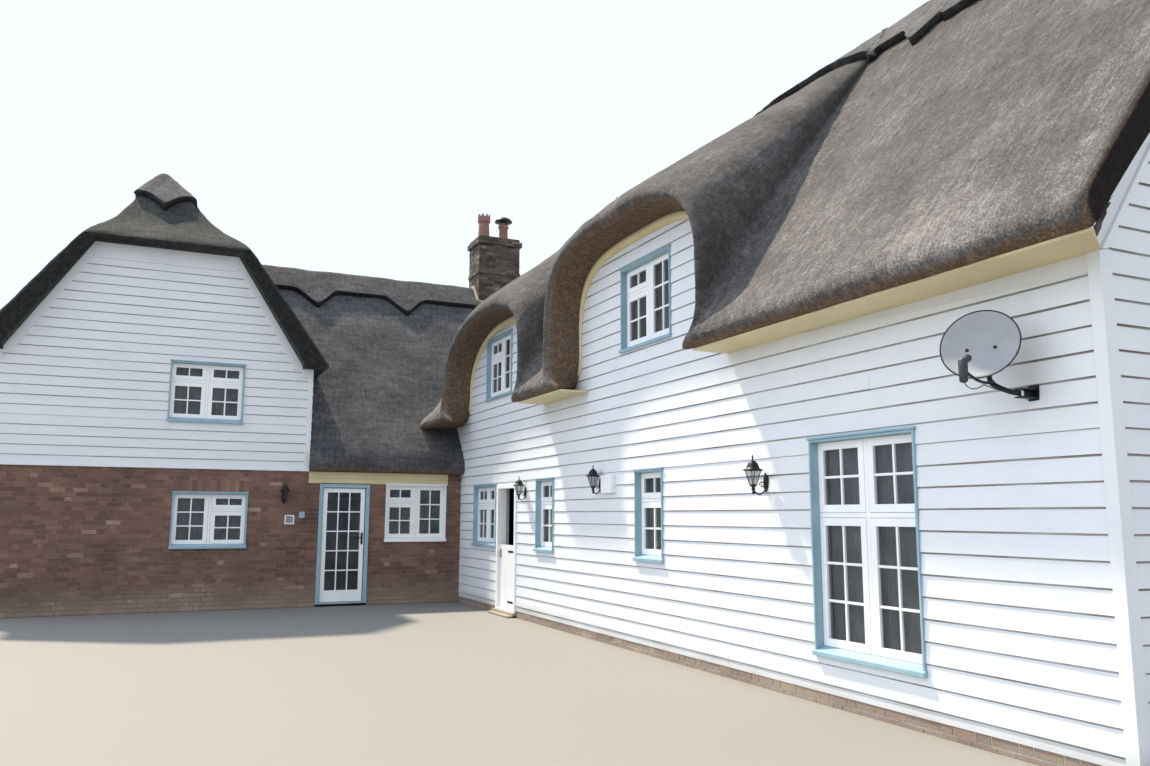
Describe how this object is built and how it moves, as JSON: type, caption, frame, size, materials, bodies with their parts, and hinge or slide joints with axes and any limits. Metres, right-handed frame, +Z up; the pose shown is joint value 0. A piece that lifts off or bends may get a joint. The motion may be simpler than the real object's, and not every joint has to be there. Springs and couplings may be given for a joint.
{
  "type": "thatched cottage",
  "caption": "Thatched cottage in an L plan with boarded and brick walls, swept dormers, half-hipped gables, a brick chimney and two doors that swing inwards.",
  "frame": {"origin": "middle of the bounding box in plan, at ground level under the walls", "axes": "+Y along the long boarded wing away from its near gable, +X from the courtyard to that wing's outer wall, +Z up"},
  "size_m": [14.72, 20.6, 8.8103],
  "materials": {
    "white_boards": "painted weatherboards",
    "brickwork": "weathered clay brick",
    "thatch": "weathered reed",
    "cream_trim": "painted board",
    "window_joinery": "painted joinery with glass",
    "floor_timber": "sawn timber",
    "floor_stone": "stone flags",
    "sooty_brick": "dark weathered brick",
    "terracotta": "fired clay",
    "black_iron": "black paint",
    "grey_metal": "grey powder coat"
  },
  "bodies": {
    "cottage": {"back_range_thatch": "thatch", "back_range_window": "window_joinery", "big_casement_window": "window_joinery", "chimney_stack": "sooty_brick", "courtyard_wall_far": "white_boards", "courtyard_wall_near": "white_boards", "courtyard_wall_upper": "white_boards", "cowl_chimney_pot": "terracotta", "cross_wing_cheek_wall": "white_boards", "cross_wing_front_gable": "white_boards", "cross_wing_lantern": "black_iron", "cross_wing_lower_window": "window_joinery", "cross_wing_rear_gable": "white_boards", "cross_wing_rear_window": "window_joinery", "cross_wing_side_board_wall": "white_boards", "cross_wing_side_brick_wall": "brickwork", "cross_wing_side_lower_windows": "window_joinery", "cross_wing_side_upper_windows": "window_joinery", "cross_wing_thatch": "thatch", "cross_wing_upper_floor": "floor_timber", "cross_wing_upper_window": "window_joinery", "crown_chimney_pot": "terracotta", "door_lantern": "black_iron", "door_side_window": "window_joinery", "end_brick_wall": "brickwork", "far_dormer_window": "window_joinery", "far_gable_wall": "white_boards", "front_brick_wall_left": "brickwork", "front_brick_wall_right": "brickwork", "front_eaves_beam": "cream_trim", "garden_door_frame": "window_joinery", "garden_side_far_dormer_window": "window_joinery", "garden_side_middle_soffit": "cream_trim", "garden_side_near_dormer_window": "window_joinery", "garden_side_near_soffit": "cream_trim", "garden_side_wall": "white_boards", "garden_side_windows": "window_joinery", "ground_floor": "floor_stone", "middle_lantern": "black_iron", "middle_soffit": "cream_trim", "middle_window": "window_joinery", "narrow_window": "window_joinery", "near_dormer_window": "window_joinery", "near_gable_lower_window": "window_joinery", "near_gable_upper_window": "window_joinery", "near_gable_wall": "white_boards", "near_lantern": "black_iron", "near_soffit": "cream_trim", "rear_brick_wall": "brickwork", "rear_windows": "window_joinery", "right_wing_thatch": "thatch", "right_wing_upper_floor": "floor_timber", "satellite_dish": "grey_metal", "stable_door_frame": "window_joinery", "stable_door_upper_leaf": "white_boards"},
    "stable_leaf": {"stable_door_lower_leaf": "white_boards"},
    "garden_leaf": {"garden_door_leaf": "window_joinery"}
  },
  "joints": [
    {"name": "stable_leaf_hinge", "type": "hinge", "parent": "cottage", "child": "stable_leaf", "pos_m": [0.867, 0.326, 0.6], "axis": [0, 0, -1], "range_deg": [0, 90]},
    {"name": "garden_door_hinge", "type": "hinge", "parent": "cottage", "child": "garden_leaf", "pos_m": [-1.774, 3.307, 1], "axis": [0, 0, 1], "range_deg": [0, 90]}
  ]
}
